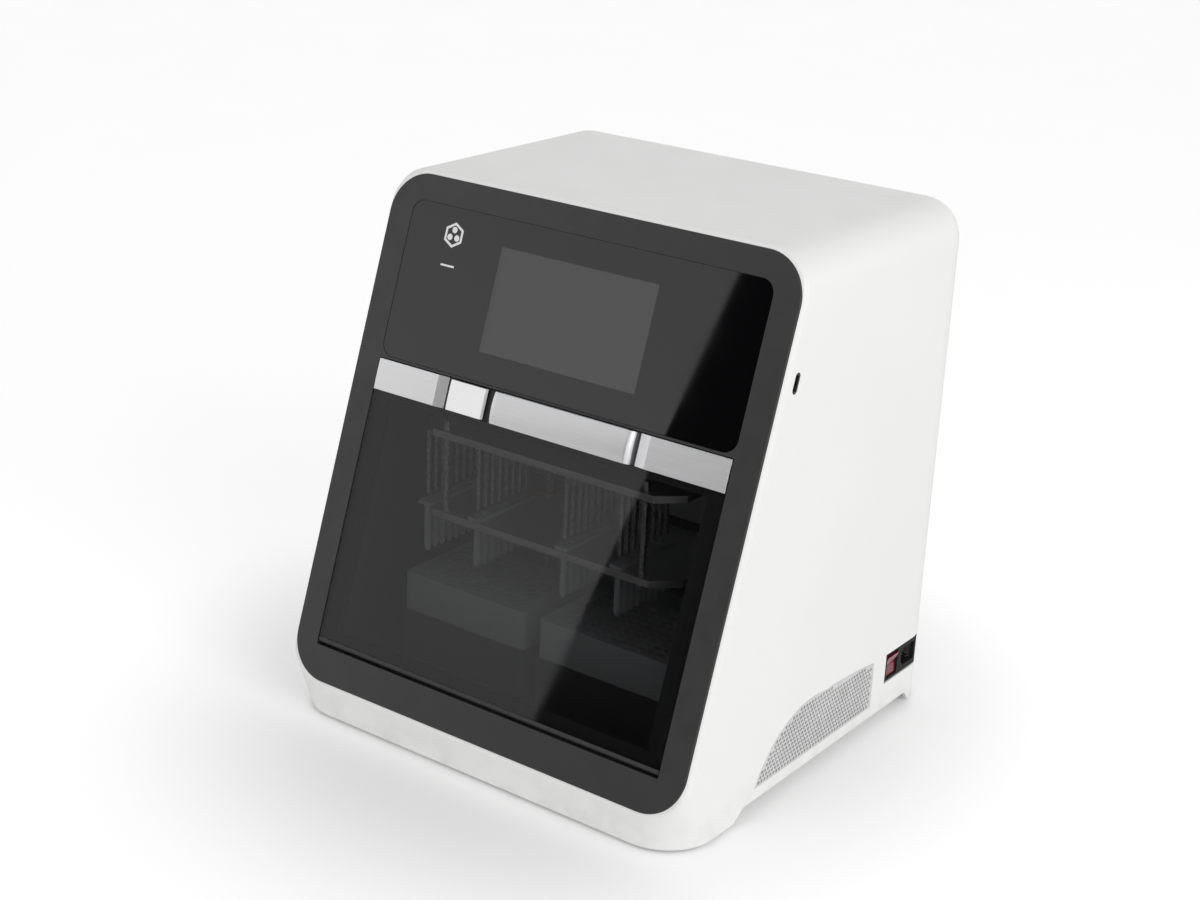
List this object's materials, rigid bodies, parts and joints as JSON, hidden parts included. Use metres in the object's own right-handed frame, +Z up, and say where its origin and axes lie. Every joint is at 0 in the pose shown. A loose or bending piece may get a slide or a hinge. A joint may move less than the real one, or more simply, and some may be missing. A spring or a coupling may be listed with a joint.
{
  "type": "thermal cycler",
  "caption": "Benchtop thermal cycler workstation: sloped touchscreen front, drop-down smoked window door, heated well-plate bays under a magnetic rod head.",
  "frame": {"origin": "on the table, in the middle of the footprint", "axes": "+Z up, +X to the right of a person facing the door, the door faces -Y"},
  "size_m": [0.406, 0.394, 0.452],
  "materials": {
    "white_housing": "satin white moulded housing",
    "white_button": "glossy white",
    "grey_sheet": "light grey powder coat",
    "bezel_grey": "dark grey, fine texture",
    "black_glass": "back-painted glass, polished",
    "smoked_glass": "smoked, polished",
    "silver_trim": "satin anodised",
    "rubber": "matt",
    "black_plastic": "fine texture",
    "red_plastic": "dark red, glossy",
    "screen": "display glass",
    "circuit_green": "solder mask",
    "bare_aluminium": "machined",
    "ceramic_white": "ceramic",
    "polypropylene": "translucent natural",
    "steel": "ground",
    "zinc_sheet": "zinc plated sheet",
    "brass": "machined"
  },
  "bodies": {
    "cabinet": {"outer_cover": "white_housing", "rear_panel": "grey_sheet", "cover_screws": "steel", "base_tray": "grey_sheet", "rubber_feet": "rubber", "side_vents": "white_housing", "front_bezel": "bezel_grey", "upper_glass": "black_glass", "touch_display": "screen", "display_board": "circuit_green", "side_frame_right": "zinc_sheet", "side_frame_left": "zinc_sheet", "chamber_back_wall": "black_plastic", "deck_plate": "black_plastic", "block_housings": "black_plastic", "heated_block_right": "bare_aluminium", "heated_block_left": "bare_aluminium", "deep_well_plate_right": "polypropylene", "deep_well_plate_left": "polypropylene", "peltier_modules": "ceramic_white", "heat_sinks": "bare_aluminium", "blower_housings": "black_plastic", "power_inlet": "black_plastic", "service_ports": "black_plastic", "power_supply": "zinc_sheet", "control_board": "circuit_green", "wiring_harness": "rubber", "rear_fan_frame": "black_plastic", "gantry_rails": "steel", "gantry_end_blocks": "bare_aluminium", "gantry_motor": "black_plastic"},
    "door": {"door_frame": "bezel_grey", "door_window": "smoked_glass", "door_trim_strips": "silver_trim", "door_handle": "silver_trim", "door_hinge_pins": "steel", "door_magnets": "steel"},
    "door_button": {"door_button": "white_button"},
    "rocker": {"power_rocker": "red_plastic"},
    "rear_fan": {"rear_fan_rotor": "black_plastic"},
    "blower_right": {"blower_impeller_right": "black_plastic"},
    "blower_left": {"blower_impeller_left": "black_plastic"},
    "gantry_carriage": {"carriage_frame": "bare_aluminium", "carriage_bearings": "bare_aluminium", "guide_columns": "steel", "head_motor": "black_plastic"},
    "gantry_lead_screw": {"gantry_screw": "steel"},
    "head": {"sleeve_carriage": "bare_aluminium", "sleeve_strips": "polypropylene", "head_bearings": "steel", "head_nut": "brass", "lift_guide_pins": "steel", "rod_drive_bracket": "bare_aluminium", "rod_motor": "black_plastic"},
    "head_lead_screw": {"head_screw": "steel"},
    "rod_lift": {"rod_plate": "bare_aluminium", "magnet_rods": "steel", "rod_plate_bearings": "steel", "rod_nut": "brass"},
    "rod_lead_screw": {"rod_screw": "steel"}
  },
  "joints": [
    {"name": "door_hinge", "type": "hinge", "parent": "cabinet", "child": "door", "pos_m": [0, -0.18127, 0.06653], "axis": [1, 0, 0], "range_deg": [0, 90]},
    {"name": "door_button_press", "type": "slide", "parent": "door", "child": "door_button", "axis": [0, 0.9511, -0.309], "range_m": [0, 0.0012]},
    {"name": "power_rocker_tilt", "type": "hinge", "parent": "cabinet", "child": "rocker", "pos_m": [0.194, 0.131, 0.0495], "axis": [0, -1, 0], "range_deg": [0, 14]},
    {"name": "rear_fan_spin", "type": "hinge", "parent": "cabinet", "child": "rear_fan", "pos_m": [-0.09, 0.18, 0.3], "axis": [0, 1, 0], "continuous": true},
    {"name": "blower_right_spin", "type": "hinge", "parent": "cabinet", "child": "blower_right", "pos_m": [0.072, -0.0105, 0.03], "axis": [0, 0, 1], "continuous": true},
    {"name": "blower_left_spin", "type": "hinge", "parent": "cabinet", "child": "blower_left", "pos_m": [-0.072, -0.0105, 0.03], "axis": [0, 0, 1], "continuous": true},
    {"name": "gantry_slide", "type": "slide", "parent": "cabinet", "child": "gantry_carriage", "axis": [1, 0, 0], "range_m": [0, 0.045]},
    {"name": "gantry_screw_turn", "type": "hinge", "parent": "cabinet", "child": "gantry_lead_screw", "pos_m": [0, 0.006, 0.205], "axis": [1, 0, 0], "range_deg": [0, 1351]},
    {"name": "head_slide", "type": "slide", "parent": "gantry_carriage", "child": "head", "axis": [0, 0, -1], "range_m": [0, 0.05]},
    {"name": "head_screw_turn", "type": "hinge", "parent": "gantry_carriage", "child": "head_lead_screw", "pos_m": [-0.06, -0.024, 0.2], "axis": [0, 0, -1], "range_deg": [0, 1502]},
    {"name": "rod_lift_slide", "type": "slide", "parent": "head", "child": "rod_lift", "axis": [0, 0, -1], "range_m": [0, 0.046]},
    {"name": "rod_screw_turn", "type": "hinge", "parent": "head", "child": "rod_lead_screw", "pos_m": [0, -0.033, 0.23], "axis": [0, 0, -1], "range_deg": [0, 1381]}
  ],
  "couplings": [
    {"joint": "gantry_screw_turn", "follows": "gantry_slide", "rad_per_m": 523.6},
    {"joint": "head_screw_turn", "follows": "head_slide", "rad_per_m": 523.6},
    {"joint": "rod_screw_turn", "follows": "rod_lift_slide", "rad_per_m": 523.6}
  ]
}
